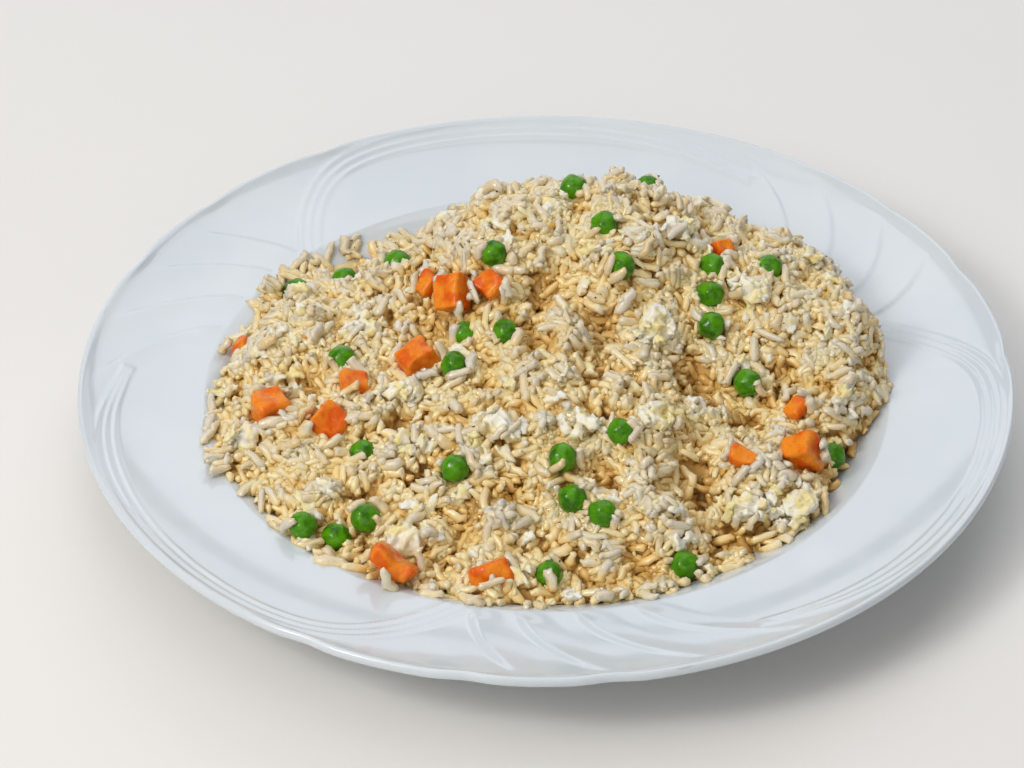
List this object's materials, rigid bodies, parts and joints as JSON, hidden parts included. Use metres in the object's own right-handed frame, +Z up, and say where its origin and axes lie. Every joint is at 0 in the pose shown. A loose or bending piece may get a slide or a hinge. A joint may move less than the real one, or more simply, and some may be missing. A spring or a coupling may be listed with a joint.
{
  "type": "fried rice plate",
  "caption": "Fried rice with peas, diced carrot and scrambled egg, heaped in a white wide-rimmed plate with a moulded leaf rim.",
  "frame": {"origin": "middle of the foot ring's flat face, on the surface the plate stands on", "axes": "+Z up out of the plate; -Y towards the front, where the apron of rice is lowest; the summit of the heap lies behind the middle"},
  "size_m": [0.2997, 0.3, 0.0674],
  "materials": {
    "porcelain": "glazed white porcelain, faint scuffs",
    "rice": "cooked rice, lightly oiled",
    "pea": "moist skin",
    "carrot": "cooked, moist cut faces",
    "egg": "scrambled, soft"
  },
  "bodies": {
    "root": {"plate": "porcelain", "rice_heap": "rice", "pea_01": "pea", "pea_02": "pea", "pea_03": "pea", "pea_04": "pea", "pea_05": "pea", "pea_06": "pea", "pea_07": "pea", "pea_08": "pea", "pea_09": "pea", "pea_10": "pea", "pea_11": "pea", "pea_12": "pea", "pea_13": "pea", "pea_14": "pea", "pea_15": "pea", "pea_16": "pea", "pea_17": "pea", "pea_18": "pea", "pea_19": "pea", "pea_20": "pea", "pea_21": "pea", "pea_22": "pea", "pea_23": "pea", "pea_24": "pea", "pea_25": "pea", "pea_26": "pea", "pea_27": "pea", "pea_28": "pea", "pea_29": "pea", "pea_30": "pea", "carrot_01": "carrot", "carrot_02": "carrot", "carrot_03": "carrot", "carrot_04": "carrot", "carrot_05": "carrot", "carrot_06": "carrot", "carrot_07": "carrot", "carrot_08": "carrot", "carrot_09": "carrot", "carrot_10": "carrot", "carrot_11": "carrot", "carrot_12": "carrot", "carrot_13": "carrot", "carrot_14": "carrot", "carrot_15": "carrot", "egg_01": "egg", "egg_02": "egg", "egg_03": "egg", "egg_04": "egg", "egg_05": "egg", "egg_06": "egg", "egg_07": "egg", "egg_08": "egg", "egg_09": "egg", "egg_10": "egg", "egg_11": "egg", "egg_12": "egg"}
  },
  "joints": []
}
